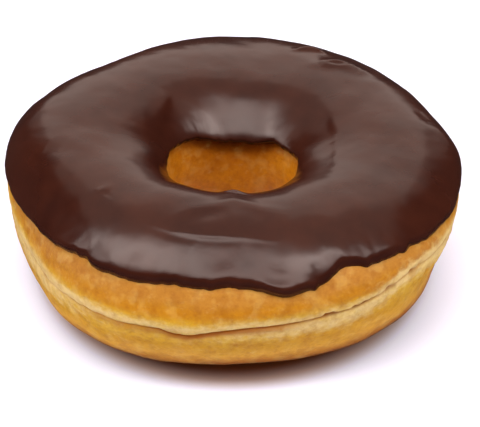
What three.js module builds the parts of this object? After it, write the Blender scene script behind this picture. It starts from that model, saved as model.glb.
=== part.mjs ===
// A ring doughnut: one fried ring of yeast dough, and the chocolate icing that coats its top.
// Millimetres, +Z up. It stands on z = 0, with the middle of its box on the Z axis.
//
// Both pieces are skins swept round the hole. A place on a skin is given by two angles in
// degrees: turn goes round the hole from +X, and lean goes round the ring's section from its
// outermost line (0) over the crown (90) and down the hole (180) to the underside (270).

import * as THREE from 'three';
import { ParametricGeometry } from 'three/addons/geometries/ParametricGeometry.js';

// Driving dimensions of the dough
const RING_RADIUS = 47.2;      // from the hole's middle to the outermost line of the side
const CROWN_RADIUS = 30.3;     // from the hole's middle to the line of the crown
const HOLE_RADIUS = 12.9;      // from the hole's middle to its waist
const CROWN_HEIGHT = 32.4;     // from the floor to the top of the dough
const SIDE_HEIGHT = 19.2;      // from the floor to the crease round the side
const WAIST_HEIGHT = 18.5;     // from the floor to the waist of the hole
const UNDER_REACH = 1.03;      // the round underside, before it is flattened, over its height
const CENTRE = { x: 0.69, y: -0.52 };  // puts the middle of the uneven ring on the Z axis

// How square each quarter of the section is: 2 is an ellipse, and more is squarer
const SQUARENESS = { outerTop: 2.35, outerUnder: 2.0, innerTop: 2.3, innerUnder: 2.1 };

// The crease where the two fried halves meet
const CREASE_DEPTH = 0.7;
const CREASE_HALF_WIDTH = 5;   // in degrees of lean

// Uneven shape, as real dough has: waves go round the whole ring, and swells are local
const SIDE_WAVES = [
  { count: 1, size: 0.6, at: -65 },
  { count: 2, size: 0.3, at: 20 },
  { count: 3, size: 0.7, at: 75 },
  { count: 4, size: 0.8, at: -22 },
  { count: 5, size: 0.5, at: 19 },
];
const SIDE_SWELLS = [
  { at: 176, width: 16, size: 1.3 },
  { at: 140, width: 22, size: -0.9 },
  { at: 18, width: 14, size: -1.1 },
];
const CROWN_WAVES = [{ count: 1, size: 1.3, at: 200 }];
const CROWN_LINE_WAVES = [
  { count: 2, size: 4.6, at: 0 },
  { count: 1, size: 1.8, at: -90 },
];
const CREASE_WAVES = [
  { count: 1, size: 1.4, at: 0 },
  { count: 2, size: 2.0, at: -36 },
  { count: 3, size: 1.0, at: 0 },
];

// The hole is wider on one side, and on the other its wall slopes in low, like a funnel
const HOLE_SWELLS = [
  { at: 180, width: 45, size: 1.3 },
  { at: -110, width: 50, size: 3.5 },
  { at: 90, width: 50, size: -5.3 },
];
const FUNNEL_WAIST_SWELLS = [{ at: 90, width: 50, size: -7.0 }];
const FUNNEL_SQUARENESS_SWELLS = [{ at: 90, width: 50, size: -0.16 }];

// The shoulder outside the crown is rounder on one side and squarer on the other
const SHOULDER_SQUARENESS_SWELLS = [
  { at: -90, width: 60, size: -0.55 },
  { at: 90, width: 60, size: 0.45 },
];

// The side's lower half is fuller, and so squarer in section, on these stretches
const UNDER_SQUARENESS_SWELLS = [
  { at: -155, width: 28, size: 0.42 },
  { at: -80, width: 60, size: 0.14 },
];

// A shallow dent pressed into the side
const DENT = { at: -24, width: 15, height: 13.5, halfHeight: 5, depth: 2.3 };

// Driving dimensions of the icing
const ICING_THICKNESS = 1.1;
const ICING_GAP = 0.3;         // kept between the two solids
const LIP_SHARE = 0.035;       // of the icing's breadth, over which each lip rounds down

// Where the icing ends, as degrees of lean. Swells below zero are drips, and others are nicks
const OUTER_EDGE_LEAN = 28.5;
const OUTER_EDGE_SWELLS = [
  { at: -172, width: 18, size: -8.0 },
  { at: -128, width: 5, size: 2.5 },
  { at: -118, width: 24, size: 2.0 },
  { at: -103.5, width: 3, size: 3.0 },
  { at: -88, width: 8, size: 1.5 },
  { at: -77, width: 6, size: -6.5 },
  { at: -61, width: 2.5, size: 7.0 },
  { at: -54, width: 10, size: 2.0 },
  { at: -43, width: 3, size: -1.5 },
  { at: -12, width: 27, size: -12.0 },
  { at: 42, width: 8, size: 4.0 },
  { at: 68, width: 9, size: -5.0 },
  { at: 96, width: 6, size: 3.0 },
  { at: 128, width: 11, size: -4.5 },
];
const INNER_EDGE_LEAN = 153.5;
const INNER_EDGE_SWELLS = [
  { at: 90, width: 40, size: -8.0 },
  { at: 20, width: 25, size: 4.5 },
  { at: 160, width: 22, size: 2.5 },
];

// Facets
const STEPS_AROUND = 84;
const DOUGH_STEPS = 24;
const ICING_STEPS = 12;        // over the breadth of the icing, on each face
const SLOPE_STEP = 0.05;       // in degrees, for measuring which way a skin faces

const radians = THREE.MathUtils.degToRad;

function waviness(waves, turn) {
  return waves.reduce((sum, wave) => {
    return sum + wave.size * Math.cos(wave.count * radians(turn - wave.at));
  }, 0);
}

function swelling(swells, turn) {
  return swells.reduce((sum, swell) => {
    const away = THREE.MathUtils.euclideanModulo(turn - swell.at + 180, 360) - 180;
    return sum + swell.size * Math.exp(-((away / swell.width) ** 2));
  }, 0);
}

// A sine or cosine pushed out towards its corner, which makes an ellipse squarer
function squared(value, squareness) {
  return Math.sign(value) * Math.abs(value) ** (2 / squareness);
}

function squarenessAt(turn, outward, upward) {
  if (outward) {
    const shoulder = SQUARENESS.outerTop + swelling(SHOULDER_SQUARENESS_SWELLS, turn);
    const under = SQUARENESS.outerUnder + swelling(UNDER_SQUARENESS_SWELLS, turn);
    return upward ? shoulder : under;
  }
  const top = SQUARENESS.innerTop + swelling(FUNNEL_SQUARENESS_SWELLS, turn);
  return upward ? top : SQUARENESS.innerUnder;
}

// How far the dent pushes the side in
function dentDepth(turn, height) {
  const up = (height - DENT.height) / DENT.halfHeight;
  return swelling([{ at: DENT.at, width: DENT.width, size: DENT.depth }], turn) * Math.exp(-(up ** 2));
}

// A point of the dough's skin. The underside is cut flat where it would sink below the floor.
function doughPoint(turn, lean) {
  const out = Math.cos(radians(lean));
  const up = Math.sin(radians(lean));
  const outward = out >= 0;
  const upward = up >= 0;
  const squareness = squarenessAt(turn, outward, upward);

  const side = SIDE_HEIGHT + waviness(CREASE_WAVES, turn);
  const waist = WAIST_HEIGHT + swelling(FUNNEL_WAIST_SWELLS, turn);
  const middle = outward ? side : waist;
  const crown = CROWN_HEIGHT + waviness(CROWN_WAVES, turn);
  const rise = upward ? crown - middle : middle * UNDER_REACH;
  const height = Math.max(0, middle + rise * squared(up, squareness));

  const crownRadius = CROWN_RADIUS + waviness(CROWN_LINE_WAVES, turn);
  const sideRadius = RING_RADIUS + waviness(SIDE_WAVES, turn) + swelling(SIDE_SWELLS, turn);
  const holeRadius = HOLE_RADIUS + swelling(HOLE_SWELLS, turn);
  const reach = outward ? sideRadius - crownRadius : crownRadius - holeRadius;
  const foldAway = THREE.MathUtils.euclideanModulo(lean + 180, 360) - 180;
  const crease = CREASE_DEPTH * Math.exp(-((foldAway / CREASE_HALF_WIDTH) ** 2));
  const pressed = outward ? crease + dentDepth(turn, height) : 0;
  const radius = crownRadius + reach * squared(out, squareness) - pressed;

  return new THREE.Vector3(
    CENTRE.x + radius * Math.cos(radians(turn)),
    CENTRE.y + radius * Math.sin(radians(turn)),
    height,
  );
}

// A point a given distance outside the dough's skin, square to it
function pointAbove(turn, lean, distance) {
  const along = doughPoint(turn + SLOPE_STEP, lean).sub(doughPoint(turn - SLOPE_STEP, lean));
  const across = doughPoint(turn, lean + SLOPE_STEP).sub(doughPoint(turn, lean - SLOPE_STEP));
  const facing = along.cross(across).normalize();
  return doughPoint(turn, lean).addScaledVector(facing, distance);
}

// The leans at which the dough's section has a corner: even steps, and two more at the crease
function doughStations() {
  const stations = [-CREASE_HALF_WIDTH / 2, 0, CREASE_HALF_WIDTH / 2];
  const first = CREASE_HALF_WIDTH * 2;
  for (let step = 0; step <= DOUGH_STEPS; step += 1) {
    stations.push(first + (360 - 2 * first) * step / DOUGH_STEPS);
  }
  stations.push(360 - CREASE_HALF_WIDTH / 2);
  return stations;
}

// Reads a list of stations as one even run from 0 to 1
function stationAt(stations, share) {
  const place = share * (stations.length - 1);
  const index = Math.min(Math.floor(place), stations.length - 2);
  return THREE.MathUtils.lerp(stations[index], stations[index + 1], place - index);
}

// How much of the icing's thickness is there, this share of the way from one lip to the other
function lipRise(share) {
  const fromLip = Math.min(share, 1 - share, LIP_SHARE) / LIP_SHARE;
  return Math.sqrt(1 - (1 - fromLip) ** 2);
}

// A point of the icing: over its outside from the outer lip to the inner one, and back beneath
function icingPoint(turn, share) {
  const outside = share < 0.5;
  const along = outside ? share * 2 : 2 - share * 2;
  const across = (1 - Math.cos(Math.PI * along)) / 2;
  const outerEdge = OUTER_EDGE_LEAN + swelling(OUTER_EDGE_SWELLS, turn);
  const innerEdge = INNER_EDGE_LEAN + swelling(INNER_EDGE_SWELLS, turn);
  const lean = THREE.MathUtils.lerp(outerEdge, innerEdge, across);
  const above = outside ? ICING_GAP + ICING_THICKNESS * lipRise(across) : ICING_GAP;
  return pointAbove(turn, lean, above);
}

// A closed skin round the hole; pointAt takes a turn and a share of the way round the section
function sweptSkin(pointAt, stepsAcross) {
  const surface = (u, v, target) => {
    target.copy(pointAt(360 * (u % 1), v % 1));
  };
  return new ParametricGeometry(surface, STEPS_AROUND, stepsAcross);
}

function doughRing() {
  const stations = doughStations();
  const pointAt = (turn, share) => doughPoint(turn, stationAt(stations, share));
  const crust = new THREE.MeshStandardMaterial({ color: 0xc98e3f, roughness: 0.6, metalness: 0 });
  const ring = new THREE.Mesh(sweptSkin(pointAt, stations.length - 1), crust);
  ring.name = 'dough_ring';
  return ring;
}

function chocolateIcing() {
  const glaze = new THREE.MeshStandardMaterial({ color: 0x46231a, roughness: 0.25, metalness: 0 });
  const icing = new THREE.Mesh(sweptSkin(icingPoint, 2 * ICING_STEPS), glaze);
  icing.name = 'chocolate_icing';
  return icing;
}

const doughnut = new THREE.Group();
doughnut.add(doughRing());
doughnut.add(chocolateIcing());

export default doughnut;
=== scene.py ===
"""A ring doughnut: a fried ring of yeast dough with set chocolate icing over its top.

Both pieces are skins swept round the hole. A place on a skin is given by two angles in degrees:
turn goes round the hole from +X, and lean goes round the ring's section, from its outermost line
(0) over the crown (90) and down the hole (180) to the underside (270). Shape sizes are in design
millimetres, and the frame's box says how long one of them is.
"""

import logging
import math
from dataclasses import dataclass, field
from enum import Enum

import bpy
import numpy as np
from mathutils import Matrix, Vector, noise


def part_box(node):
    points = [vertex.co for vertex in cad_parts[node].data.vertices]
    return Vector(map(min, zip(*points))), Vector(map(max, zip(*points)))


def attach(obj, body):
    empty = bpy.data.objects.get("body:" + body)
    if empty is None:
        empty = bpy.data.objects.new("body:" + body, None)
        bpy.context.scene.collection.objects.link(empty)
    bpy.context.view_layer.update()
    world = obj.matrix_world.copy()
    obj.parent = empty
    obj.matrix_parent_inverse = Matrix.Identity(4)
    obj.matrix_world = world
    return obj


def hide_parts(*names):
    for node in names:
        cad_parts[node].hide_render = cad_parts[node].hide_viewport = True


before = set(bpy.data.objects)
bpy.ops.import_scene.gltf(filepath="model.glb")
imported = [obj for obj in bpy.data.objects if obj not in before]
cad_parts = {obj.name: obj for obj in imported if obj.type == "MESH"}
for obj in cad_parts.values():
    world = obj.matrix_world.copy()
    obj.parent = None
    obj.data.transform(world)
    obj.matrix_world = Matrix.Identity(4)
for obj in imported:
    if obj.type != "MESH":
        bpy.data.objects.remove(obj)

LOG = logging.getLogger("doughnut")

# The CAD nodes that the two pieces stand for, and the body that both ride on
DOUGH_NODE = "dough_ring"
ICING_NODE = "chocolate_icing"
BODY = "root"

FULL_TURN = 360.0
MM_PER_METRE = 1000.0

# Smaller than any length that matters, so that nothing is divided by zero
TINY = 1e-12

# The standard curve of everyday colour values: straight near black, and a power beyond
CURVE_START = 0.04045
CURVE_SLOPE = 12.92
CURVE_SHIFT = 0.055
CURVE_POWER = 2.4

# Random height has this many layers, each twice as fine as the last and half as high
LUMP_LAYERS = 2
LUMP_FINER = 2.0
LUMP_FADE = 1.0

# A flow mark is drawn with this many stretches from one place of its path to the next, and it
# fades in and out over its length
MARK_STRETCHES = 9
MARK_TAPER_FROM = 0.04
MARK_TAPER_POWER = 0.6

# The numbers of a colour mixing node's sockets, several of which share a name
MIX_SHARE = 0
MIX_BENEATH = 6
MIX_ON_TOP = 7
MIX_RESULT = 2

Pair = tuple[float, float]
Triple = tuple[float, float, float]
Colour = tuple[float, float, float, float]
Stops = tuple[tuple[float, Triple], ...]

PLAIN: Triple = (1.0, 1.0, 1.0)
WARM: Triple = (1.0, 0.85, 0.77)
WHITE: Colour = (1.0, 1.0, 1.0, 1.0)


def linear(red: int, green: int, blue: int) -> Colour:
    """Turns an everyday 0 to 255 colour into the linear colour that a shader takes.

    Args:
        red: Red, from 0 to 255.
        green: Green, from 0 to 255.
        blue: Blue, from 0 to 255.

    Returns:
        The linear red, green and blue, with a full alpha.
    """
    values = []
    for channel in (red, green, blue):
        share = channel / 255
        straight = share / CURVE_SLOPE
        curved = ((share + CURVE_SHIFT) / (1 + CURVE_SHIFT)) ** CURVE_POWER
        values.append(straight if share <= CURVE_START else curved)
    return (*values, 1.0)


def wrapped(angle: np.ndarray) -> np.ndarray:
    """Brings angles in degrees into the half turn either way from zero."""
    return (angle + 180) % FULL_TURN - 180


def bell(distance: np.ndarray, width: float) -> np.ndarray:
    """A smooth hump: 1 at no distance, and fading over about the given width."""
    return np.exp(-((distance / width) ** 2))


@dataclass(frozen=True)
class Wave:
    """A gentle wave that runs right round the ring, with one of its crests at a given turn."""

    count: int
    size: float
    at: float

    def over(self, turn: np.ndarray) -> np.ndarray:
        """The wave's height at each turn."""
        return self.size * np.cos(self.count * np.radians(turn - self.at))


@dataclass(frozen=True)
class Swell:
    """A local rise or dip on one stretch of the ring, placed and measured in degrees of turn."""

    at: float
    width: float
    size: float

    def over(self, turn: np.ndarray) -> np.ndarray:
        """The swell's height at each turn."""
        return self.size * bell(wrapped(turn - self.at), self.width)


Shapes = tuple[Wave | Swell, ...]


def total(shapes: Shapes, turn: np.ndarray) -> np.ndarray:
    """Adds up waves and swells at each turn."""
    return sum((shape.over(turn) for shape in shapes), np.zeros_like(turn, dtype=float))


@dataclass(frozen=True)
class Belt:
    """A band along the ring, which fades out on both sides of its line.

    Its strength changes round the ring by its shapes. The line and the width have the same
    measure as the places that the band is asked about.
    """

    strength: float
    shapes: Shapes
    line: float
    width: float

    def over(self, turn: np.ndarray, across: np.ndarray) -> np.ndarray:
        """The band's strength at each place.

        Args:
            turn: Degrees round the hole.
            across: How far each place is across the band.

        Returns:
            The strength of each place.
        """
        return (self.strength + total(self.shapes, turn)) * bell(across - self.line, self.width)


@dataclass(frozen=True)
class Lumps:
    """Smooth random height: its size, the distance between lumps, and a shift of the pattern.

    The size is about the greatest height either way. It and the grain are in design
    millimetres, but on the fold's line and the icing's edges the size is in degrees of lean.
    """

    size: float
    grain: float
    shift: float

    def over(self, points: np.ndarray) -> np.ndarray:
        """The height at each point.

        Args:
            points: Points in design millimetres, with x, y and z in the last axis.

        Returns:
            One value for each point.
        """
        flat = points.reshape(-1, 3) / self.grain + self.shift
        layering = (LUMP_FADE, LUMP_FINER, LUMP_LAYERS)
        heights = [noise.fractal(Vector(place), *layering) for place in flat]
        return self.size * np.array(heights).reshape(points.shape[:-1])


def unit_length(vectors: np.ndarray) -> np.ndarray:
    """Scales vectors to a length of one."""
    lengths = np.linalg.norm(vectors, axis=-1, keepdims=True)
    return vectors / np.maximum(lengths, TINY)


@dataclass(frozen=True)
class RingShape:
    """The smooth, slightly uneven skin of the dough, before any fine detail.

    All sizes are in design millimetres, and the same as the ring that the frame holds.
    """

    ring_radius: float = 47.2
    crown_radius: float = 30.3
    hole_radius: float = 12.9
    crown_height: float = 32.4
    side_height: float = 19.2
    waist_height: float = 18.5
    under_reach: float = 1.03
    centre: Pair = (0.69, -0.52)
    box_width: float = 95.82

    # How square each quarter of the section is: 2 is an ellipse, and more is squarer
    outer_top_squareness: float = 2.35
    outer_under_squareness: float = 2.0
    inner_top_squareness: float = 2.3
    inner_under_squareness: float = 2.1

    # The uneven side, crown, crease and hole, then the far wall that slopes in like a funnel
    side_shapes: Shapes = (
        Wave(1, 0.6, -65),
        Wave(2, 0.3, 20),
        Wave(3, 0.7, 75),
        Wave(4, 0.8, -22),
        Wave(5, 0.5, 19),
        Swell(176, 16, 1.3),
        Swell(140, 22, -0.9),
        Swell(18, 14, -1.1),
    )
    crown_shapes: Shapes = (Wave(1, 1.3, 200),)
    crown_line_shapes: Shapes = (Wave(2, 4.6, 0), Wave(1, 1.8, -90))
    crease_shapes: Shapes = (
        Wave(1, 1.4, 0),
        Wave(2, 2.0, -36),
        Wave(3, 1.0, 0),
    )
    hole_shapes: Shapes = (
        Swell(180, 45, 1.3),
        Swell(-110, 50, 3.5),
        Swell(90, 50, -5.3),
    )
    funnel_waist: Swell = Swell(90, 50, -7.0)
    funnel_squareness: Swell = Swell(90, 50, -0.16)
    shoulder_shapes: Shapes = (Swell(-90, 60, -0.55), Swell(90, 60, 0.45))
    fuller_under: Shapes = (Swell(-155, 28, 0.42), Swell(-80, 60, 0.14))

    # A shallow dent pressed into the side
    dent: Swell = Swell(-24, 15, 2.3)
    dent_height: float = 13.5
    dent_half_height: float = 5.0

    def unit(self) -> float:
        """Metres in one design millimetre, worked out from the frame's dough ring."""
        low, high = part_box(DOUGH_NODE)
        return (high.x - low.x) / self.box_width

    def points(self, turn: np.ndarray, lean: np.ndarray) -> np.ndarray:
        """Points of the smooth skin.

        Args:
            turn: Degrees round the hole.
            lean: Degrees round the section.

        Returns:
            Points in design millimetres, with x, y and z in a new last axis.
        """
        out = np.cos(np.radians(lean))
        up = np.sin(np.radians(lean))
        outward = out >= 0
        upward = up >= 0
        under = self.outer_under_squareness + total(self.fuller_under, turn)
        shoulder = self.outer_top_squareness + total(self.shoulder_shapes, turn)
        outer = np.where(upward, shoulder, under)
        funnel = self.inner_top_squareness + self.funnel_squareness.over(turn)
        inner = np.where(upward, funnel, self.inner_under_squareness)
        power = 2 / np.where(outward, outer, inner)

        side = self.side_height + total(self.crease_shapes, turn)
        waist = self.waist_height + self.funnel_waist.over(turn)
        middle = np.where(outward, side, waist)
        crown = self.crown_height + total(self.crown_shapes, turn)
        rise = np.where(upward, crown - middle, middle * self.under_reach)
        height = np.maximum(middle + rise * np.sign(up) * np.abs(up) ** power, 0)

        crown_radius = self.crown_radius + total(self.crown_line_shapes, turn)
        side_radius = self.ring_radius + total(self.side_shapes, turn)
        hole_radius = self.hole_radius + total(self.hole_shapes, turn)
        reach = np.where(outward, side_radius - crown_radius, crown_radius - hole_radius)
        radius = crown_radius + reach * np.sign(out) * np.abs(out) ** power
        pressed = self.dent.over(turn) * bell(height - self.dent_height, self.dent_half_height)
        radius = radius - np.where(outward, pressed, 0)

        x = self.centre[0] + radius * np.cos(np.radians(turn))
        y = self.centre[1] + radius * np.sin(np.radians(turn))
        return np.stack([x, y, height], axis=-1)

    def facing(self, turn: np.ndarray, lean: np.ndarray) -> np.ndarray:
        """The way that the smooth skin faces at each place.

        Args:
            turn: Degrees round the hole.
            lean: Degrees round the section.

        Returns:
            Unit vectors, in a new last axis.
        """
        step = 0.05
        along = self.points(turn + step, lean) - self.points(turn - step, lean)
        across = self.points(turn, lean + step) - self.points(turn, lean - step)
        return unit_length(np.cross(along, across))


def swept_mesh(name: str, rows: np.ndarray, facts: dict[str, np.ndarray]) -> bpy.types.Object:
    """Builds one closed, smooth-shaded skin from rows of points that go round the hole.

    Args:
        name: The piece's name.
        rows: Points in metres, first by turn and then round the section; both ways close up.
        facts: Values kept with each point, which the finishes read by name.

    Returns:
        The new object, in the scene.
    """
    around, across = rows.shape[:2]
    index = np.arange(around * across).reshape(around, across)
    right = np.roll(index, -1, axis=0)
    above = np.roll(index, -1, axis=1)
    corner = np.roll(right, -1, axis=1)
    quads = np.stack([index, right, corner, above], axis=-1).reshape(-1, 4)
    mesh = bpy.data.meshes.new(name)
    mesh.from_pydata(rows.reshape(-1, 3).tolist(), [], quads.tolist())
    for fact, values in facts.items():
        attribute = mesh.attributes.new(fact, "FLOAT", "POINT")
        attribute.data.foreach_set("value", values.astype(np.float32).ravel())
    mesh.shade_smooth()
    mesh.update()
    piece = bpy.data.objects.new(name, mesh)
    bpy.context.scene.collection.objects.link(piece)
    return piece


@dataclass(frozen=True)
class Mottle:
    """Soft random mottling: its grain in millimetres, its finer layers, and how strong they are."""

    grain: float
    layers: float
    rough: float


class Recipe:
    """A short way to write down a finish as a tree of shader nodes."""

    def __init__(self, name: str) -> None:
        """Starts a finish with one empty principled shader.

        Args:
            name: The material's name.
        """
        self.material = bpy.data.materials.new(name)
        self.material.use_nodes = True
        self.tree = self.material.node_tree
        self.tree.nodes.clear()
        self.shader = self.tree.nodes.new("ShaderNodeBsdfPrincipled")
        output = self.tree.nodes.new("ShaderNodeOutputMaterial")
        self.tree.links.new(self.shader.outputs["BSDF"], output.inputs["Surface"])
        self.place = self.tree.nodes.new("ShaderNodeTexCoord").outputs["Object"]

    def feed(self, node: bpy.types.Node, name: str | int, value: object) -> None:
        """Sets an input of a node to a number or colour, or links it to another node's output.

        Args:
            node: The node to feed.
            name: The input's name or number.
            value: A number, a colour or an output socket.
        """
        if isinstance(value, bpy.types.NodeSocket):
            self.tree.links.new(value, node.inputs[name])
        else:
            node.inputs[name].default_value = value

    def dress(self, inputs: dict[str, object]) -> None:
        """Feeds the shader's inputs, each given by its name."""
        for name, value in inputs.items():
            self.feed(self.shader, name, value)

    def fact(self, name: str) -> bpy.types.NodeSocket:
        """A value that the mesh keeps with each point.

        Args:
            name: The value's name.

        Returns:
            The value.
        """
        node = self.tree.nodes.new("ShaderNodeAttribute")
        node.attribute_name = name
        return node.outputs["Fac"]

    def maths(self, kind: str, first: object, second: object = 0.0) -> bpy.types.NodeSocket:
        """A sum of two values.

        Args:
            kind: The sum's kind, as Blender names it.
            first: A number or a socket.
            second: A number or a socket.

        Returns:
            The result.
        """
        node = self.tree.nodes.new("ShaderNodeMath")
        node.operation = kind
        self.feed(node, 0, first)
        self.feed(node, 1, second)
        return node.outputs[0]

    def length(self, vector: object) -> bpy.types.NodeSocket:
        """How long a vector is.

        Args:
            vector: The vector's socket.

        Returns:
            The length.
        """
        node = self.tree.nodes.new("ShaderNodeVectorMath")
        node.operation = "LENGTH"
        self.feed(node, 0, vector)
        return node.outputs["Value"]

    def stretched(self, scale: Triple) -> bpy.types.NodeSocket:
        """The place on the object, scaled by a factor each way.

        Args:
            scale: The factors along X, Y and Z. Mottling is squashed where they are over 1.

        Returns:
            The scaled place.
        """
        node = self.tree.nodes.new("ShaderNodeMapping")
        self.feed(node, "Vector", self.place)
        self.feed(node, "Scale", scale)
        return node.outputs["Vector"]

    def cloud(self, mottle: Mottle, where: object = None) -> bpy.types.NodeSocket:
        """Soft random mottling from 0 to 1.

        Args:
            mottle: How coarse and how rough it is.
            where: The place socket, if it isn't the plain place on the object.

        Returns:
            The mottling.
        """
        node = self.tree.nodes.new("ShaderNodeTexNoise")
        self.feed(node, "Vector", self.place if where is None else where)
        self.feed(node, "Scale", MM_PER_METRE / mottle.grain)
        self.feed(node, "Detail", mottle.layers)
        self.feed(node, "Roughness", mottle.rough)
        return node.outputs["Fac"]

    def cells(self, grain: float) -> bpy.types.NodeSocket:
        """The distance to the nearest of many scattered points, about 0 to 1.

        Args:
            grain: The distance between the points, in millimetres.

        Returns:
            The distance.
        """
        node = self.tree.nodes.new("ShaderNodeTexVoronoi")
        self.feed(node, "Vector", self.place)
        self.feed(node, "Scale", MM_PER_METRE / grain)
        return node.outputs["Distance"]

    def between(self, value: object, low: float, high: float) -> bpy.types.NodeSocket:
        """Turns a value into a smooth step that is 0 at low and 1 at high.

        Args:
            value: The value's socket.
            low: Where the step starts.
            high: Where the step is over.

        Returns:
            The step.
        """
        node = self.tree.nodes.new("ShaderNodeMapRange")
        node.interpolation_type = "SMOOTHSTEP"
        self.feed(node, "Value", value)
        self.feed(node, "From Min", low)
        self.feed(node, "From Max", high)
        return node.outputs["Result"]

    def span(self, value: object, low: float, high: float) -> bpy.types.NodeSocket:
        """Spreads a value that goes from 0 to 1 over the range from low to high.

        Args:
            value: The value's socket.
            low: The result at 0.
            high: The result at 1.

        Returns:
            The spread value.
        """
        node = self.tree.nodes.new("ShaderNodeMapRange")
        self.feed(node, "Value", value)
        self.feed(node, "To Min", low)
        self.feed(node, "To Max", high)
        return node.outputs["Result"]

    def ramp(self, value: object, stops: Stops) -> bpy.types.NodeSocket:
        """A run of colours along a value.

        Args:
            value: The socket that picks the place along the run.
            stops: Places from 0 to 1, each with an everyday 0 to 255 colour.

        Returns:
            The colour.
        """
        node = self.tree.nodes.new("ShaderNodeValToRGB")
        elements = node.color_ramp.elements
        while len(elements) < len(stops):
            elements.new(1.0)
        for element, (place, colour) in zip(elements, stops):
            element.position = place
            element.color = linear(*colour)
        self.feed(node, "Fac", value)
        return node.outputs["Color"]

    def blend(
        self, share: object, first: object, second: object, kind: str = "MIX"
    ) -> bpy.types.NodeSocket:
        """Lays one colour over another.

        Args:
            share: How much of the second colour is laid on, from 0 to 1.
            first: The colour beneath.
            second: The colour on top.
            kind: The way they blend, as Blender names it.

        Returns:
            The blended colour.
        """
        node = self.tree.nodes.new("ShaderNodeMix")
        node.data_type = "RGBA"
        node.blend_type = kind
        self.feed(node, MIX_SHARE, share)
        self.feed(node, MIX_BENEATH, first)
        self.feed(node, MIX_ON_TOP, second)
        return node.outputs[MIX_RESULT]

    def bump(self, height: object, depth: float, below: object = None) -> bpy.types.NodeSocket:
        """Fine relief for the light to catch.

        Args:
            height: The relief, from 0 to 1.
            depth: The relief's depth in millimetres.
            below: Relief that this one is laid over, if there is any.

        Returns:
            The bent facing of the surface.
        """
        node = self.tree.nodes.new("ShaderNodeBump")
        self.feed(node, "Height", height)
        self.feed(node, "Strength", 1.0)
        self.feed(node, "Distance", depth / MM_PER_METRE)
        if below is not None:
            self.feed(node, "Normal", below)
        return node.outputs["Normal"]


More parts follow.
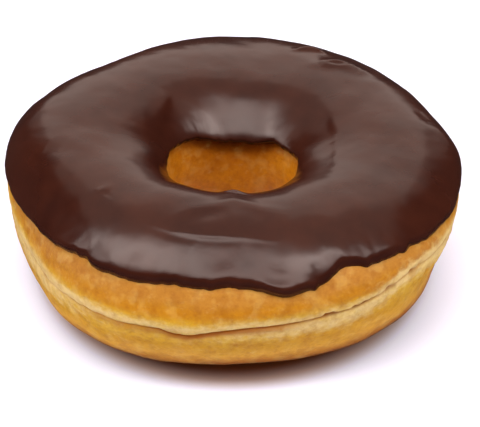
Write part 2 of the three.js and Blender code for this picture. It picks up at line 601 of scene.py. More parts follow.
@dataclass(frozen=True)
class FriedCrust:
    """Golden fried crust: a pale proof line at the side, deeper brown where the fat reached, and
    painted light and shade laid into its colours.

    The colours run along fall, which goes from 0 at the crown down the side to 0.25 at the
    crease, 0.5 under the ring, 0.75 at the waist of the hole, and up to 1 at the crown again.
    """

    slot: str = "fried_dough"

    # The colours along fall, and how far their borders wander. The stops that darken under the ring,
    # from 0.353 to 0.56, are painted shade. The dark stop at 0.845, just under the icing's inner lip
    # in the hole, is painted shadow.
    fried_and_shaded: Stops = (
        (0.00, (180, 118, 38)),
        (0.185, (180, 119, 36)),
        (0.205, (178, 118, 12)),
        (0.222, (200, 150, 18)),
        (0.238, (212, 172, 58)),
        (0.256, (204, 158, 34)),
        (0.285, (200, 144, 6)),
        (0.315, (216, 158, 46)),
        (0.336, (196, 130, 34)),
        (0.353, (168, 96, 18)),
        (0.376, (122, 62, 10)),
        (0.56, (140, 80, 16)),
        (0.66, (240, 160, 34)),
        (0.755, (210, 134, 12)),
        (0.815, (178, 102, 6)),
        (0.845, (112, 58, 6)),
        (1.00, (176, 116, 34)),
    )
    wander: float = 0.022

    # Mottling, from coarse to fine
    broad: Mottle = Mottle(9.0, 3.0, 0.55)
    # The mottle of the painted buttery highlights
    painted_glint_mottle: Mottle = Mottle(3.0, 2.0, 0.5)
    patchy: Mottle = Mottle(2.6, 4.0, 0.6)
    streaked: Mottle = Mottle(2.2, 4.0, 0.62)
    speckled: Mottle = Mottle(0.8, 3.0, 0.6)
    pore_grain: float = 0.9

    # The golden band over the fold, broken into blotches
    golden: Triple = (184, 118, 0)
    golden_step: Pair = (0.25, 0.55)

    # The pale belt, broken into streaks that are flatter than they are long. The same pale colour
    # also paints light on the ring's left and right sides.
    pale_and_side_light: Triple = (216, 184, 116)
    streak_stretch: Triple = (1.0, 1.0, 1.6)
    streak_swing: Pair = (-0.72, 0.82)
    pale_step: Pair = (0.12, 1.05)

    # Darker patches and flecks where the relief is low (random tone and painted shade in its
    # hollows), painted buttery highlights, and the colour of the painted shade in the fold and pits
    patch_tone_and_shade: Stops = ((0.34, (220, 200, 176)), (0.54, (255, 255, 255)))
    patch_share: float = 0.55
    fleck_tone_and_shade: Stops = ((0.32, (232, 216, 196)), (0.58, (255, 255, 255)))
    fleck_share: float = 0.5
    painted_glint: Triple = (232, 196, 110)
    painted_glint_step: Pair = (0.48, 0.68)
    painted_glint_share: float = 0.16
    # The colour of the painted shade in the fold and the pits
    painted_shade_colour: Triple = (158, 86, 2)

    # The skin's sheen, the light that sinks into it (how far each colour goes, and the reach in
    # metres), and its fine relief in millimetres
    roughness: Pair = (0.42, 0.6)
    sheen: float = 0.3
    sinking: float = 0.1
    sinking_tint: Triple = (1.0, 0.45, 0.12)
    sinking_reach: float = 0.0014
    patch_depth: float = 0.14
    speck_depth: float = 0.06
    pore_step: Pair = (0.0, 0.45)
    pore_depth: float = 0.04

    def colour(self, recipe: Recipe, patchy: object, speckled: object) -> bpy.types.NodeSocket:
        """Lays the crust's colours over each other.

        Args:
            recipe: The finish being made.
            patchy: The socket of the patchy mottling.
            speckled: The socket of the speckled mottling.

        Returns:
            The crust's colour.
        """
        broad = recipe.cloud(self.broad)
        fall = recipe.maths("ADD", recipe.fact("fall"), recipe.span(broad, -self.wander, self.wander))
        colour = recipe.ramp(fall, self.fried_and_shaded)
        blotches = recipe.between(broad, *self.golden_step)
        golden = recipe.maths("MULTIPLY", recipe.fact("golden"), blotches)
        colour = recipe.blend(golden, colour, linear(*self.golden))

        streaks = recipe.cloud(self.streaked, recipe.stretched(self.streak_stretch))
        swing = recipe.span(streaks, *self.streak_swing)
        # The pale belt, and painted light on the ring's left and right sides
        pale_and_side_light = recipe.between(recipe.maths("ADD", recipe.fact("pale_share_and_side_light"), swing), *self.pale_step)
        colour = recipe.blend(pale_and_side_light, colour, linear(*self.pale_and_side_light))

        # Darker where the relief is low: random tone and painted shade in its hollows
        patch_tone_and_shade = recipe.ramp(patchy, self.patch_tone_and_shade)
        colour = recipe.blend(self.patch_share, colour, patch_tone_and_shade, "MULTIPLY")
        fleck_tone_and_shade = recipe.ramp(speckled, self.fleck_tone_and_shade)
        colour = recipe.blend(self.fleck_share, colour, fleck_tone_and_shade, "MULTIPLY")
        # Painted highlights: light buttery blotches laid into the colour
        painted_glints = recipe.between(recipe.cloud(self.painted_glint_mottle), *self.painted_glint_step)
        painted_glint = recipe.maths("MULTIPLY", painted_glints, self.painted_glint_share)
        colour = recipe.blend(painted_glint, colour, linear(*self.painted_glint))
        # Painted shade in the fold and the pits
        return recipe.blend(recipe.fact("painted_shade"), colour, linear(*self.painted_shade_colour))

    def material(self) -> bpy.types.Material:
        """Makes the crust's material.

        Returns:
            The finished material.
        """
        recipe = Recipe("fried_crust")
        patchy = recipe.cloud(self.patchy)
        speckled = recipe.cloud(self.speckled)
        pores = recipe.between(recipe.cells(self.pore_grain), *self.pore_step)
        skin = recipe.bump(patchy, self.patch_depth)
        skin = recipe.bump(speckled, self.speck_depth, skin)
        recipe.dress({
            "Base Color": self.colour(recipe, patchy, speckled),
            "Roughness": recipe.span(patchy, *self.roughness),
            "Specular IOR Level": self.sheen,
            "Subsurface Weight": self.sinking,
            "Subsurface Radius": self.sinking_tint,
            "Subsurface Scale": self.sinking_reach,
            "Normal": recipe.bump(pores, self.pore_depth, skin),
        })
        return recipe.material


@dataclass(frozen=True)
class SetChocolate:
    """Chocolate icing that has set: dark, softly glossy, and a little uneven."""

    slot: str = "chocolate_icing"
    colours: Stops = ((0.35, (46, 18, 11)), (0.65, (58, 25, 15)))
    gleam: Colour = (1.0, 0.84, 0.78, 1.0)
    broad: Mottle = Mottle(14.0, 2.0, 0.5)
    streaky: Mottle = Mottle(5.0, 3.0, 0.55)
    fine: Mottle = Mottle(0.8, 2.0, 0.5)
    streaky_share: float = 0.5

    # The gloss is stronger and smoother where the icing looks wet, and its relief is very fine
    roughness: Pair = (0.18, 0.27)
    wet_smoothness: float = 0.05
    gloss: Pair = (0.27, 0.46)
    streak_depth: float = 0.05
    fine_depth: float = 0.004

    def material(self) -> bpy.types.Material:
        """Makes the icing's material.

        Returns:
            The finished material.
        """
        recipe = Recipe("set_chocolate")
        streaky = recipe.cloud(self.streaky)
        mottle = recipe.blend(self.streaky_share, recipe.cloud(self.broad), streaky)
        wet = recipe.fact("wet")
        smoother = recipe.maths("MULTIPLY", wet, self.wet_smoothness)
        uneven = recipe.span(streaky, *self.roughness)
        ripple = recipe.bump(streaky, self.streak_depth)
        recipe.dress({
            "Base Color": recipe.ramp(mottle, self.colours),
            "Roughness": recipe.maths("SUBTRACT", uneven, smoother),
            "Specular IOR Level": recipe.span(wet, *self.gloss),
            "Specular Tint": self.gleam,
            "Normal": recipe.bump(recipe.cloud(self.fine), self.fine_depth, ripple),
        })
        return recipe.material


@dataclass(frozen=True)
class Pit:
    """A small round pit in the crust, at a turn and lean, with its sizes in design mm."""

    turn: float
    lean: float
    radius: float
    depth: float


@dataclass
class DoughRing:
    """The fried ring of dough, with its fold at the side, its lumps and its pits.

    Sizes are in design millimetres, and so are distances above the fold. The pale belts, the
    golden band and the pits are placed in degrees of lean.
    """

    shape: RingShape
    crust: FriedCrust = field(default_factory=FriedCrust)
    steps_around: int = 580

    # Stretches of lean beyond the fold, each with its number of steps, and the steps at the
    # fold itself, which are bunched towards its line
    spacing: tuple[tuple[float, float, int], ...] = (
        (16, 40, 24),
        (40, 140, 20),
        (140, 205, 28),
        (205, 300, 18),
        (300, 344, 24),
    )
    fold_steps: int = 56
    fold_band: float = 16.0
    fold_evenness: float = 0.45

    # The skin's lumps, and those of the rough belt just under the fold
    broad_lumps: Lumps = Lumps(0.30, 15.0, 3.1)
    fine_lumps: Lumps = Lumps(0.07, 3.4, 8.7)
    belt_lumps: Lumps = Lumps(0.17, 1.6, 5.2)
    belt_stretch: Triple = (1, 1, 1.6)
    belt: Belt = Belt(1.0, (), -1.8, 2.8)

    # The fold's line, in degrees of lean, and its depth in design millimetres
    fold_shapes: Shapes = (
        Swell(-45, 12, 8.5),
        Swell(-103, 5.0, -3.0),
        Swell(-88, 7, 1.6),
        Wave(9, 0.4, 10),
        Wave(17, 0.3, 40),
    )
    fold_wander: Lumps = Lumps(0.55, 2.6, 21.3)
    fold_depth: float = 0.3
    deeper_folds: Shapes = (
        Swell(-99, 9, 1.05),
        Swell(-82, 12, 0.35),
        Swell(-64, 8, 0.25),
        Swell(60, 30, 0.5),
        Swell(140, 25, 0.35),
        Swell(0, 20, 0.3),
    )

    # The fold's section: the upper half rolls over into it, bulges above it and droops, and the
    # lower half leaves it in a sharp run and a slow one
    roll: float = 0.55
    bulge: Belt = Belt(0.35, (), 2.6, 2.0)
    sag: Belt = Belt(0.5, (), 0.55, 0.5)
    sharp_share: float = 0.6
    sharp_run: float = 0.4
    slow_run: float = 2.4
    fold_reach: float = 12.0

    # How much painted shade the fold has: least where it is shallow, more with depth, and a painted
    # shadow under its lip in places
    least_painted_shade: float = 0.15
    painted_shade_with_depth: float = 0.8
    painted_crease_shade: Belt = Belt(1.0, (), -0.1, 0.36)
    painted_lip_shadow: Belt = Belt(
        0.0, (Swell(-99, 13, 1.0), Swell(-82, 9, 0.5), Swell(-120, 9, 0.4)), -0.8, 0.8
    )

    # The pale belts over and under the fold, the painted light at either side, and the golden band
    # above them
    pale_belts_and_side_light: tuple[Belt, ...] = (
        Belt(0.72, (Swell(-135, 22, 0.3), Swell(-62, 14, -0.1)), 4.0, 4.6),
        Belt(0.4, (Swell(-62, 26, 0.5), Swell(-110, 18, -0.4)), -5.0, 5.5),
        # Painted light on the left and right sides of the ring
        Belt(0.0, (Swell(-155, 18, 0.45),), -3.0, 12.0),
        Belt(0.0, (Swell(-26, 22, 0.8),), 2.0, 10.0),
    )
    golden_band: Belt = Belt(0.8, (Swell(-90, 26, 0.2),), 15.5, 4.5)

    # Listed pits, then small ones strewn by chance: a crowd near one turn, and the rest right round.
    # Turns are drawn for more than are kept.
    pits: tuple[Pit, ...] = (
        Pit(-68.2, 1.4, 0.6, 0.75),
        Pit(-66.6, 0.8, 0.6, 0.75),
        Pit(-61.0, 1.2, 0.55, 0.5),
        Pit(-58.8, 1.6, 0.5, 0.5),
        Pit(-51.5, 4.4, 0.7, 0.65),
        Pit(-50.0, 2.6, 0.5, 0.5),
        Pit(-44.2, 6.4, 0.8, 0.6),
        Pit(-41.5, 9.5, 0.5, 0.4),
        Pit(-34.0, 14.0, 0.5, 0.4),
        Pit(-84.5, -5.0, 0.6, 0.3),
        Pit(-59.3, -7.0, 0.5, 0.3),
        Pit(-90.2, -11.8, 0.7, 0.3),
        Pit(-104.0, -17.5, 1.1, 0.3),
        Pit(-38.0, -5.0, 0.7, 0.4),
        Pit(20.0, 1.5, 0.8, 0.6),
        Pit(96.0, -2.0, 0.7, 0.5),
        Pit(150.0, 1.0, 0.6, 0.5),
    )
    scattered_pits: int = 130
    crowd_draws: int = 50
    ring_draws: int = 400
    crowd: Pair = (-58.0, 16.0)
    scatter_lean: Pair = (-5.0, 5.0)
    scatter_radius: Pair = (0.25, 0.5)
    scatter_depth: Pair = (0.06, 0.2)
    # How much painted shade a pit adds for each millimetre of its depth
    painted_pit_shade: float = 0.9
    seed: int = 7

    def leans(self) -> np.ndarray:
        """The leans at which the section has points: close together at the fold, and even beyond.

        Returns:
            The leans in degrees, going once round.
        """
        half = self.fold_band
        share = np.linspace(-1, 1, self.fold_steps, endpoint=False)
        even = self.fold_evenness
        close = half * np.sign(share) * (even * np.abs(share) + (1 - even) * np.abs(share) ** 2)
        rest = [np.linspace(low, high, steps, endpoint=False) for low, high, steps in self.spacing]
        return np.concatenate([close, *rest])

    def fold_lean(self, turn: np.ndarray) -> np.ndarray:
        """The lean of the fold's line at each turn.

        Args:
            turn: Degrees round the hole.

        Returns:
            The lean, in degrees.
        """
        round_hole = np.radians(turn)
        middle_line = np.stack([np.cos(round_hole), np.sin(round_hole), 0 * round_hole], axis=-1)
        wander = self.fold_wander.over(middle_line * self.shape.ring_radius)
        return total(self.fold_shapes, turn) + wander

    def above_fold(self, turn: np.ndarray, lean: np.ndarray, points: np.ndarray) -> np.ndarray:
        """How far each point lies above the fold's line, along the skin, in design mm.

        Args:
            turn: Degrees round the hole.
            lean: Degrees round the section.
            points: The smooth skin's points there.

        Returns:
            The distance: above zero over the line, and below zero under it.
        """
        step = 1.0
        fold = self.fold_lean(turn)
        low = self.shape.points(turn, fold - step)
        high = self.shape.points(turn, fold + step)
        line = self.shape.points(turn, fold)
        upward = unit_length(high - low)
        return np.sum((points - line) * upward, axis=-1)

    def scatter(self) -> list[Pit]:
        """Small pits strewn over the pale belts, always in the same places.

        Returns:
            The pits.
        """
        dice = np.random.default_rng(self.seed)
        crowded = dice.normal(*self.crowd, self.crowd_draws)
        turns = np.concatenate([crowded, dice.uniform(-180, 180, self.ring_draws)])
        pits = []
        for turn in turns[: self.scattered_pits]:
            lean = dice.normal(*self.scatter_lean)
            radius = dice.uniform(*self.scatter_radius)
            pits.append(Pit(turn, lean, radius, dice.uniform(*self.scatter_depth)))
        return pits

    def paleness_and_side_light(self, turn: np.ndarray, lean: np.ndarray) -> np.ndarray:
        """How pale the crust is, from 0 to 1: where the fat only splashed it, and painted light on
        the ring's left and right sides.

        Args:
            turn: Degrees round the hole.
            lean: Degrees round the section.

        Returns:
            The paleness of each point.
        """
        above_fold = wrapped(lean - total(self.fold_shapes, turn))
        return np.clip(sum(belt.over(turn, above_fold) for belt in self.pale_belts_and_side_light), 0, 1)

    def goldenness(self, turn: np.ndarray, lean: np.ndarray) -> np.ndarray:
        """How deep the golden band over the fold is at each place, from 0 to 1."""
        return np.clip(self.golden_band.over(turn, wrapped(lean)), 0, 1)

    def build(self) -> bpy.types.Object:
        """Builds and dresses the ring.

        Returns:
            The finished piece.
        """
        turns = np.arange(self.steps_around) * FULL_TURN / self.steps_around
        turn, lean = np.meshgrid(turns, self.leans(), indexing="ij")
        base_lean = lean + self.fold_lean(turn) * bell(wrapped(lean), 2 * self.fold_band)
        smooth = self.shape.points(turn, base_lean)
        out = self.shape.facing(turn, base_lean)
        side = np.cos(np.radians(base_lean)) > 0
        above = np.where(side, self.above_fold(turn, base_lean, smooth), np.inf)

        points = smooth + out * self.relief(turn, smooth, above)[..., None]
        points[..., 2] -= self.lip_sag(turn, above)
        pitted = self.pitting(points)
        points += out * pitted[..., None]
        points[..., 2] = np.maximum(points[..., 2], 0)

        facts = {
            "fall": ((90 - base_lean) % FULL_TURN) / FULL_TURN,
            "pale_share_and_side_light": self.paleness_and_side_light(turn, base_lean),
            "painted_shade": np.clip(self.painted_shade(turn, above) - self.painted_pit_shade * pitted, 0, 1),
            "golden": self.goldenness(turn, base_lean),
        }
        piece = swept_mesh("fried_dough_ring", points * self.shape.unit(), facts)
        piece.data.materials.append(self.crust.material())
        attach(piece, BODY)
        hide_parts(DOUGH_NODE)
        return piece

    def depth_at(self, turn: np.ndarray) -> np.ndarray:
        """How deep the fold is at each turn, in design mm."""
        return self.fold_depth + total(self.deeper_folds, turn)

    def relief(self, turn: np.ndarray, smooth: np.ndarray, above: np.ndarray) -> np.ndarray:
        """How far the skin stands out from the smooth ring, in design mm.

        Args:
            turn: Degrees round the hole.
            smooth: The smooth skin's points.
            above: How far each is above the fold's line.

        Returns:
            The relief, which is below zero in the fold.
        """
        depth = self.depth_at(turn)
        upper = self.bulge.over(turn, above) - depth * np.exp(-np.maximum(above, 0) / self.roll)
        under = np.minimum(above, 0)
        sharp = self.sharp_share * np.exp(under / self.sharp_run)
        slow = (1 - self.sharp_share) * np.exp(under / self.slow_run)
        fold = np.where(above >= 0, upper, -depth * (sharp + slow))
        fold[np.abs(above) > self.fold_reach] = 0
        rough = self.belt.over(turn, above) * self.belt_lumps.over(smooth * self.belt_stretch)
        return fold + self.broad_lumps.over(smooth) + self.fine_lumps.over(smooth) + rough

    def lip_sag(self, turn: np.ndarray, above: np.ndarray) -> np.ndarray:
        """How far the upper half's edge droops over the fold, in design mm."""
        return self.sag.over(turn, above) * self.depth_at(turn) * (above > 0)

    def painted_shade(self, turn: np.ndarray, above: np.ndarray) -> np.ndarray:
        """How much painted shade the fold has at each place, from 0 to 1.

        Args:
            turn: Degrees round the hole.
            above: How far each point is above the fold's line.

        Returns:
            The painted shade of each point.
        """
        share = self.least_painted_shade + self.painted_shade_with_depth * self.depth_at(turn)
        line = share * self.painted_crease_shade.over(turn, above)
        return np.clip(line + self.painted_lip_shadow.over(turn, above), 0, 1)

    def pitting(self, points: np.ndarray) -> np.ndarray:
        """How far the pits sink the skin, in design mm.

        Args:
            points: The points before pitting.

        Returns:
            The relief, which is below zero in a pit.
        """
        sunk = np.zeros(points.shape[:-1])
        for pit in (*self.pits, *self.scatter()):
            place = self.shape.points(np.array(pit.turn), np.array(pit.lean))
            away = np.linalg.norm(points - place, axis=-1)
            sunk -= pit.depth * bell(away, pit.radius)
        return sunk


class MarkKind(Enum):
    """How a mark in the icing stands out."""

    RIDGE = "ridge"
    STEP = "step"


@dataclass(frozen=True)
class FlowMark:
    """A mark left where the icing ran and set: a ridge or furrow, or a step between two levels.

    The path is a run of (turn, lean) places, and the other sizes are in design millimetres. A
    step's high side is to the left of its path, seen from outside, or to the right if its height
    is below zero, and its level dies away over reach.
    """

    path: tuple[Pair, ...]
    half_width: float
    height: float
    kind: MarkKind = MarkKind.RIDGE
    reach: float = 6.0

    def over(self, shape: RingShape, points: np.ndarray, out: np.ndarray) -> np.ndarray:
        """The mark's height at each point.

        Args:
            shape: The dough's shape, which the path lies on.
            points: The icing's points, in design mm.
            out: The way that the skin faces at each point.

        Returns:
            The height to add, in design mm.
        """
        knots = np.array(self.path, dtype=float)
        order = np.arange(len(knots))
        share = np.linspace(0, order[-1], MARK_STRETCHES * order[-1] + 1)
        line = shape.points(*(np.interp(share, order, angles) for angles in knots.T))
        ends = np.linspace(MARK_TAPER_FROM, 1 - MARK_TAPER_FROM, len(line))
        taper = np.sin(np.pi * ends) ** MARK_TAPER_POWER
        nearest = np.full(points.shape[:-1], np.inf)
        side = np.zeros_like(nearest)
        strength = np.zeros_like(nearest)
        for start, end, weight in zip(line[:-1], line[1:], taper):
            run = end - start
            along = np.clip(np.sum((points - start) * run, axis=-1) / (run @ run), 0, 1)
            gap = points - (start + along[..., None] * run)
            distance = np.linalg.norm(gap, axis=-1)
            closer = distance < nearest
            nearest = np.where(closer, distance, nearest)
            across = np.sum(np.cross(out, run) * gap, axis=-1) / np.linalg.norm(run)
            side = np.where(closer, across, side)
            strength = np.where(closer, weight, strength)
        if self.kind is MarkKind.STEP:
            level = 0.5 * np.tanh(side / self.half_width) * np.exp(-np.abs(side) / self.reach)
            return self.height * strength * level * bell(nearest - np.abs(side), self.half_width)
        return self.height * strength * bell(nearest, self.half_width)


@dataclass
class ChocolateIcing:
    """The set icing: a coat with a thick rounded lip that follows the dough beneath it.

    Sizes are in design millimetres, and its edges are in degrees of lean. On the outer edge a
    swell below zero is a drip, and one above zero is a nick.
    """

    shape: RingShape
    glaze: SetChocolate = field(default_factory=SetChocolate)

    # Steps round the hole, over the outer face, over each of its lips and over the underside,
    # and the finer steps by which they are spaced evenly
    steps_around: int = 680
    face_steps: int = 128
    lip_steps: int = 13
    lip_share: float = 0.045
    under_steps: int = 16
    trial_steps: int = 240

    # The thickness, the bead along each edge, how far the underside is sunk into the dough, and
    # how far in from its edge each lip is rounded
    thickness: float = 1.35
    thickness_lumps: tuple[Lumps, ...] = (Lumps(0.16, 10.0, 12.3), Lumps(0.05, 4.5, 1.9))
    bead: Belt = Belt(0.3, (), 1.2, 2.4)
    sunk: float = 0.12
    lip_reach: float = 1.8
    hole_lip_reach: float = 1.2

    # The edges, and the finer lumps that leave them ragged
    outer_edge: float = 28.5
    outer_shapes: Shapes = (
        Swell(-172, 18, -8.0),
        Swell(-133, 6, 3.4),
        Swell(-130.3, 1.2, 1.7),
        Swell(-105, 24, 5.2),
        Swell(-106, 3, 1.3),
        Swell(-88, 8, 1.5),
        Swell(-77, 5.5, -5.0),
        Swell(-70.4, 1.0, -2.4),
        Swell(-61, 5, 7.5),
        Swell(-55.8, 1.0, -2.0),
        Swell(-47, 13, 5.5),
        Swell(-44.8, 1.2, -3.0),
        Swell(-12, 27, -12.0),
        Swell(42, 8, 4.0),
        Swell(68, 9, -5.0),
        Swell(96, 6, 3.0),
        Swell(128, 11, -4.5),
        Wave(23, 0.35, 3),
    )
    ragged: tuple[Lumps, ...] = (Lumps(1.1, 4.5, 31.7), Lumps(0.8, 1.5, 44.1))
    inner_edge: float = 153.5
    inner_shapes: Shapes = (
        Swell(90, 40, -6.0),
        Swell(20, 25, 4.5),
        Swell(160, 22, 2.5),
        Swell(-168, 18, 8.0),
        Swell(-12, 16, 6.0),
        Wave(7, 0.6, 15),
    )

    # How much thicker the icing gets down the far wall of the hole, between these two leans
    funnel_lip: Swell = Swell(90, 55, 2.5)
    funnel_leans: Pair = (118.0, 152.0)

    # The marks that its flow left
    marks: tuple[FlowMark, ...] = (
        FlowMark(((-112, 76), (-107, 84), (-99, 90), (-91, 97), (-81, 90), (-73, 85)), 1.5, 0.3),
        FlowMark(((-105, 80), (-97, 83)), 2.0, -0.22),
        FlowMark(((-119, 69), (-110, 66.5), (-100, 65.5), (-88, 65), (-78, 62)), 0.6, 0.13),
        FlowMark(((-117, 66.5), (-103, 63), (-90, 62.5)), 1.1, -0.12),
        FlowMark(((-103, 60), (-97, 54), (-90, 49)), 3.6, -0.22),
        FlowMark(((-141, 77), (-140, 85)), 0.8, 0.15),
        FlowMark(((-137, 78), (-137, 83)), 1.3, -0.14),
        FlowMark(((-92, 117), (-90.5, 126)), 2.4, 0.8),
        FlowMark(((-70, 27), (-69, 32), (-65, 38), (-60, 42)), 3.0, -0.4),
        FlowMark(((-86, 33), (-80, 30), (-75, 29.5)), 1.7, 0.5),
        FlowMark(((-66, 52), (-58, 51), (-52, 48)), 2.2, 0.16),
        FlowMark(((40, 108), (19, 120), (1, 126), (-16, 124), (-34, 118)), 1.1, 0.55, MarkKind.STEP),
        FlowMark(((131, 112), (140, 122), (152, 133), (166, 140)), 1.0, -0.5, MarkKind.STEP),
        FlowMark(((56, 80), (50.5, 71), (42, 68)), 1.8, 0.9),
        FlowMark(((53, 76), (48, 70)), 0.5, -0.5),
        FlowMark(((68, 69), (64, 64), (60, 61)), 0.8, 0.9),
        FlowMark(((11, 53), (2, 46), (-7, 38)), 2.2, 0.5),
        FlowMark(((16, 62), (8, 58)), 1.6, -0.3),
        FlowMark(((-170, 72), (-166, 85)), 2.2, -0.3),
    )

    # Where the icing looks wet: here a mark's height is a share, and 1 or more is fully wet
    wet_runs: tuple[FlowMark, ...] = (
        FlowMark(((127, 124), (121, 134), (112, 146)), 1.7, 1.6),
        FlowMark(((60, 122), (55, 136), (50, 149)), 1.5, 0.9),
        FlowMark(((152, 142), (153, 158)), 1.0, 1.0),
        FlowMark(((112, 129), (90, 132), (70, 129)), 5.0, 0.4),
        FlowMark(((-78, 47), (-71, 46), (-62, 46.5)), 2.4, 0.9),
        FlowMark(((-136, 46), (-122, 48), (-104, 50)), 4.5, 0.8),
    )

    def edges(self, turn: np.ndarray) -> tuple[np.ndarray, np.ndarray]:
        """The leans at which the icing ends.

        Args:
            turn: Degrees round the hole.

        Returns:
            The outer edge's lean and the inner edge's lean at each turn.
        """
        outer = self.outer_edge + total(self.outer_shapes, turn)
        inner = self.inner_edge + total(self.inner_shapes, turn)
        side = self.shape.points(turn, np.full_like(turn, self.outer_edge))
        hole = self.shape.points(turn, np.full_like(turn, self.inner_edge))
        for teeth in self.ragged:
            outer = outer + teeth.over(side)
            inner = inner + teeth.over(hole)
        return outer, inner

    def funnel(self, turn: np.ndarray, lean: np.ndarray) -> np.ndarray:
        """How much thicker the icing is where it ran down the hole, in design mm.

        Args:
            turn: Degrees round the hole.
            lean: Degrees round the section.

        Returns:
            The extra thickness at each place.
        """
        start, end = self.funnel_leans
        share = np.clip((lean - start) / (end - start), 0, 1)
        return self.funnel_lip.over(turn) * share**2

    def face_shares(self) -> np.ndarray:
        """Where the outer face has points: bunched on both lips, and even between them.

        Returns:
            Places from 0 to 1 across the face, as a share of its breadth.
        """
        lip = self.lip_share
        curve = lip * (1 - np.cos(np.linspace(0, np.pi / 2, self.lip_steps, endpoint=False)))
        middle = np.linspace(lip, 1 - lip, self.face_steps - 2 * self.lip_steps)
        return np.concatenate([curve, middle, 1 - curve[::-1]])

    def stations(self, turns: np.ndarray, shares: np.ndarray) -> tuple[np.ndarray, np.ndarray]:
        """Spaces places evenly along the skin from the outer edge to the inner edge.

        Args:
            turns: Degrees round the hole, one for each row.
            shares: Places across the icing, from 0 at the outer edge to 1 at the inner edge.

        Returns:
            The lean of each place, and its distance in design mm from the outer edge.
        """
        outer, inner = self.edges(turns)
        trial = np.linspace(0, 1, self.trial_steps)
        lean = outer[:, None] + (inner - outer)[:, None] * trial
        points = self.shape.points(np.broadcast_to(turns[:, None], lean.shape), lean)
        steps = np.linalg.norm(np.diff(points, axis=1), axis=-1)
        run = np.concatenate([np.zeros((len(turns), 1)), np.cumsum(steps, axis=1)], axis=1)
        leans = np.empty((len(turns), len(shares)))
        for row in range(len(turns)):
            leans[row] = np.interp(shares * run[row, -1], run[row], lean[row])
        return leans, shares * run[:, -1:]

    def build(self, dough: DoughRing) -> bpy.types.Object:
        """Builds and dresses the icing.

        Args:
            dough: The ring that it lies on.

        Returns:
            The finished piece.
        """
        turns = np.arange(self.steps_around) * FULL_TURN / self.steps_around
        face, face_wet = self.face(turns, dough)
        under, under_wet = self.underside(turns, dough)
        rows = np.concatenate([face, under], axis=1)
        wet = np.concatenate([face_wet, under_wet], axis=1)
        piece = swept_mesh("set_chocolate_icing", rows * self.shape.unit(), {"wet": wet})
        piece.data.materials.append(self.glaze.material())
        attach(piece, BODY)
        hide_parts(ICING_NODE)
        return piece

    def face(self, turns: np.ndarray, dough: DoughRing) -> tuple[np.ndarray, np.ndarray]:
        """The outer face, from the outer lip over the top to the lip in the hole.

        Args:
            turns: Degrees round the hole, one for each row.
            dough: The ring that it lies on.

        Returns:
            The points in design mm, and how wet each looks, from 0 to 1.
        """
        lean, run = self.stations(turns, self.face_shares())
        turn = np.broadcast_to(turns[:, None], lean.shape)
        smooth = self.shape.points(turn, lean)
        out = self.shape.facing(turn, lean)
        breadth = run[:, -1:]
        from_lip = np.minimum(run, breadth - run)
        thick = self.thickness + self.bead.over(turn, from_lip)
        for unevenness in self.thickness_lumps:
            thick = thick + unevenness.over(smooth)
        thick = thick + self.funnel(turn, lean)
        reach = np.where(run < breadth / 2, self.lip_reach, self.hole_lip_reach)
        rounding = 1 - (1 - np.minimum(from_lip / reach, 1)) ** 2
        marks = sum(mark.over(self.shape, smooth, out) for mark in self.marks)
        bed = dough.broad_lumps.over(smooth) - self.sunk
        height = bed + (thick + self.sunk + marks) * rounding
        wet = sum(mark.over(self.shape, smooth, out) for mark in self.wet_runs)
        return smooth + out * height[..., None], np.clip(wet, 0, 1)

    def underside(self, turns: np.ndarray, dough: DoughRing) -> tuple[np.ndarray, np.ndarray]:
        """The face that lies on the dough, from the inner lip back to the outer one.

        Args:
            turns: Degrees round the hole, one for each row.
            dough: The ring that it lies on.

        Returns:
            The points in design mm, and how wet each looks, from 0 to 1.
        """
        shares = np.linspace(1, 0, self.under_steps + 2)[1:-1]
        lean, _ = self.stations(turns, shares)
        turn = np.broadcast_to(turns[:, None], lean.shape)
        smooth = self.shape.points(turn, lean)
        height = dough.broad_lumps.over(smooth) - self.sunk
        points = smooth + self.shape.facing(turn, lean) * height[..., None]
        return points, np.zeros(lean.shape)


@dataclass(frozen=True)
class PaleSweep:
    """The plain pale surface: a warm painted shadow under the doughnut, and a glow far from it.

    Distances are in metres from the middle of the hole. The painted shadow starts inside the hole, is
    full under the ring, and has faded out at the ring's outermost line. The surface glows by lift
    where it is clear of the painted shadow, and by glow more when it is far away.
    """

    painted_contact_shadow: Stops = ((0.0, (150, 84, 50)), (0.45, (204, 164, 146)), (1.0, (239, 238, 255)))
    roughness: float = 0.85
    sheen: float = 0.1
    hole_from: float = 0.012
    hole_to: float = 0.024
    shadow_from: float = 0.0375
    shadow_to: float = 0.0455
    lift: float = 0.14
    glow: float = 1.1
    glow_from: float = 0.12
    glow_full: float = 0.7

    def material(self) -> bpy.types.Material:
        """Makes the sweep's material.

        Returns:
            The finished material.
        """
        recipe = Recipe("pale_sweep")
        away = recipe.length(recipe.place)
        # Painted shadow: dark and warm under the ring, fading out to the plain pale floor
        outside = recipe.between(away, self.shadow_from, self.shadow_to)
        inside = recipe.between(away, self.hole_from, self.hole_to)
        clear = recipe.maths("MAXIMUM", outside, recipe.maths("SUBTRACT", 1.0, inside))
        far = recipe.between(away, self.glow_from, self.glow_full)
        near = recipe.maths("MULTIPLY", clear, self.lift)
        recipe.dress({
            "Base Color": recipe.ramp(clear, self.painted_contact_shadow),
            "Roughness": self.roughness,
            "Specular IOR Level": self.sheen,
            "Emission Color": WHITE,
            "Emission Strength": recipe.maths("ADD", near, recipe.span(far, 0.0, self.glow)),
        })
        return recipe.material


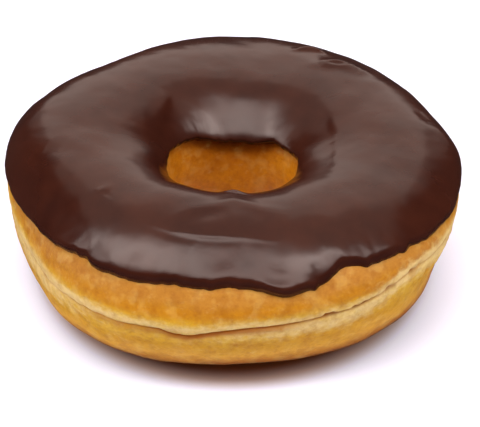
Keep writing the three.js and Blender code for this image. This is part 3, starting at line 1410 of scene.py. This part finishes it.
@dataclass(frozen=True)
class SoftLamp:
    """A rectangular lamp: its size and place, the place it faces, and how bright it looks.

    Sizes and places are in metres. A lamp that isn't mirrored lights the doughnut without
    showing in the icing's gloss.
    """

    name: str
    width: float
    depth: float
    place: Triple
    faces: Triple
    radiance: float
    colour: Triple = PLAIN
    mirrored: bool = True

    def build(self) -> None:
        """Hangs the lamp."""
        light = bpy.data.lights.new(self.name, "AREA")
        light.shape = "RECTANGLE"
        light.size = self.width
        light.size_y = self.depth
        light.energy = self.radiance * math.pi * self.width * self.depth
        light.color = self.colour
        lamp = bpy.data.objects.new(self.name, light)
        lamp.location = self.place
        facing = Vector(self.place) - Vector(self.faces)
        lamp.rotation_euler = facing.to_track_quat("Z", "Y").to_euler()
        lamp.visible_camera = False
        lamp.visible_glossy = self.mirrored
        bpy.context.scene.collection.objects.link(lamp)


@dataclass
class Studio:
    """The floor, the room and the soft lights.

    A broad softbox and its brighter core hang overhead, with a wing to the left. A dim warm ceiling
    and a warm screen are behind, and the fills light the scene without showing in the icing's gloss.
    """

    sweep: PaleSweep = field(default_factory=PaleSweep)
    floor_radius: float = 3.0
    floor_corners: int = 96
    floor_drop: float = 0.00005
    lamps: tuple[SoftLamp, ...] = (
        SoftLamp("softbox", 1.56, 0.41, (-0.16, -0.235, 1.0), (-0.16, -0.235, 0.0), 3.6),
        SoftLamp("softbox_core", 1.42, 0.27, (-0.16, -0.29, 0.97), (-0.16, -0.29, 0.0), 3.2),
        SoftLamp("softbox_wing", 1.2, 0.38, (-1.6, -0.24, 1.0), (-1.6, -0.24, 0.0), 4.2),
        SoftLamp("ceiling", 1.5, 0.95, (-0.15, 0.475, 1.12), (-0.15, 0.475, 0.0), 1.05, WARM),
        SoftLamp("screen", 1.04, 1.1, (0.0, 1.0, 0.735), (0.0, 0.0, 0.735), 1.25, WARM),
        SoftLamp("screen_rim", 1.5, 1.2, (0.0, 1.02, 0.76), (0.0, 0.0, 0.76), 0.4, WARM),
        SoftLamp("fill", 1.4, 0.8, (0.2, -0.3, 1.1), (0.2, -0.3, 0.0), 0.8, mirrored=False),
        SoftLamp("right_fill", 0.7, 0.6, (0.85, -0.3, 0.5), (0.0, 0.0, 0.0), 3.0, mirrored=False),
        SoftLamp("left_fill", 0.7, 0.6, (-0.85, -0.3, 0.5), (0.0, 0.0, 0.0), 2.5, mirrored=False),
    )
    dim_room: float = 0.035
    seen_room: float = 1.0

    def room(self) -> None:
        """Makes the room: pale where it is looked at, and dim in what the icing reflects."""
        world = bpy.data.worlds.new("room")
        world.use_nodes = True
        nodes, links = world.node_tree.nodes, world.node_tree.links
        nodes.clear()
        path = nodes.new("ShaderNodeLightPath")
        mix = nodes.new("ShaderNodeMixShader")
        output = nodes.new("ShaderNodeOutputWorld")
        links.new(path.outputs["Is Camera Ray"], mix.inputs[0])
        for number, strength in enumerate((self.dim_room, self.seen_room), start=1):
            background = nodes.new("ShaderNodeBackground")
            background.inputs["Color"].default_value = WHITE
            background.inputs["Strength"].default_value = strength
            links.new(background.outputs[0], mix.inputs[number])
        links.new(mix.outputs[0], output.inputs["Surface"])
        bpy.context.scene.world = world

    def floor(self) -> None:
        """Lays a broad round floor, which the icing's gloss doesn't mirror."""
        angles = np.linspace(0, 2 * np.pi, self.floor_corners, endpoint=False)
        across = self.floor_radius * np.cos(angles)
        along = self.floor_radius * np.sin(angles)
        rim = np.stack([across, along, np.full(self.floor_corners, -self.floor_drop)], axis=-1)
        mesh = bpy.data.meshes.new("floor")
        mesh.from_pydata(rim.tolist(), [], [tuple(range(self.floor_corners))])
        floor = bpy.data.objects.new("floor", mesh)
        floor.data.materials.append(self.sweep.material())
        floor.visible_glossy = False
        bpy.context.scene.collection.objects.link(floor)

    def build(self) -> None:
        """Lays the floor and hangs the lights."""
        self.room()
        for lamp in self.lamps:
            lamp.build()
        self.floor()
        bpy.context.scene.view_settings.view_transform = "Standard"


@dataclass(frozen=True)
class Viewpoint:
    """The camera: it looks down on the front of the doughnut through a long lens.

    Distances are in metres. It stands straight before the heart of the doughnut and turns a
    little aside and below it. The lens and the sensor's width are in millimetres.
    """

    elevation: float = 37.0
    distance: float = 0.350
    nearest: float = 0.01
    lens: float = 120.7
    sensor_width: float = 36.0
    heart: float = 0.015
    aside: float = 0.0016
    below: float = 0.0032

    def build(self) -> None:
        """Places the camera and makes it the scene's own."""
        rise = math.radians(self.elevation)
        sight = Vector((0, math.cos(rise), -math.sin(rise)))
        upward = Vector((0, math.sin(rise), math.cos(rise)))
        heart = Vector((0, 0, self.heart))
        place = heart - sight * self.distance
        target = heart + Vector((self.aside, 0, 0)) - upward * self.below
        camera = bpy.data.cameras.new("camera")
        camera.lens = self.lens
        camera.sensor_width = self.sensor_width
        camera.clip_start = self.nearest
        holder = bpy.data.objects.new("camera", camera)
        look = (place - target).to_track_quat("Z", "Y").to_matrix().to_4x4()
        holder.matrix_world = Matrix.Translation(place) @ look
        bpy.context.scene.collection.objects.link(holder)
        bpy.context.scene.camera = holder


def report(piece: bpy.types.Object) -> None:
    """Logs a finished piece's name and how fine its mesh is."""
    mesh = piece.data
    LOG.info("%s: %d points, %d faces", piece.name, len(mesh.vertices), len(mesh.polygons))


def main() -> None:
    """Builds the doughnut, its surroundings and its view."""
    logging.basicConfig(level=logging.INFO, format="%(name)s: %(message)s")
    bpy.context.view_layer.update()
    Viewpoint().build()
    Studio().build()
    shape = RingShape()
    dough = DoughRing(shape)
    report(dough.build())
    icing = ChocolateIcing(shape)
    report(icing.build(dough))


if __name__ == "__main__":
    main()
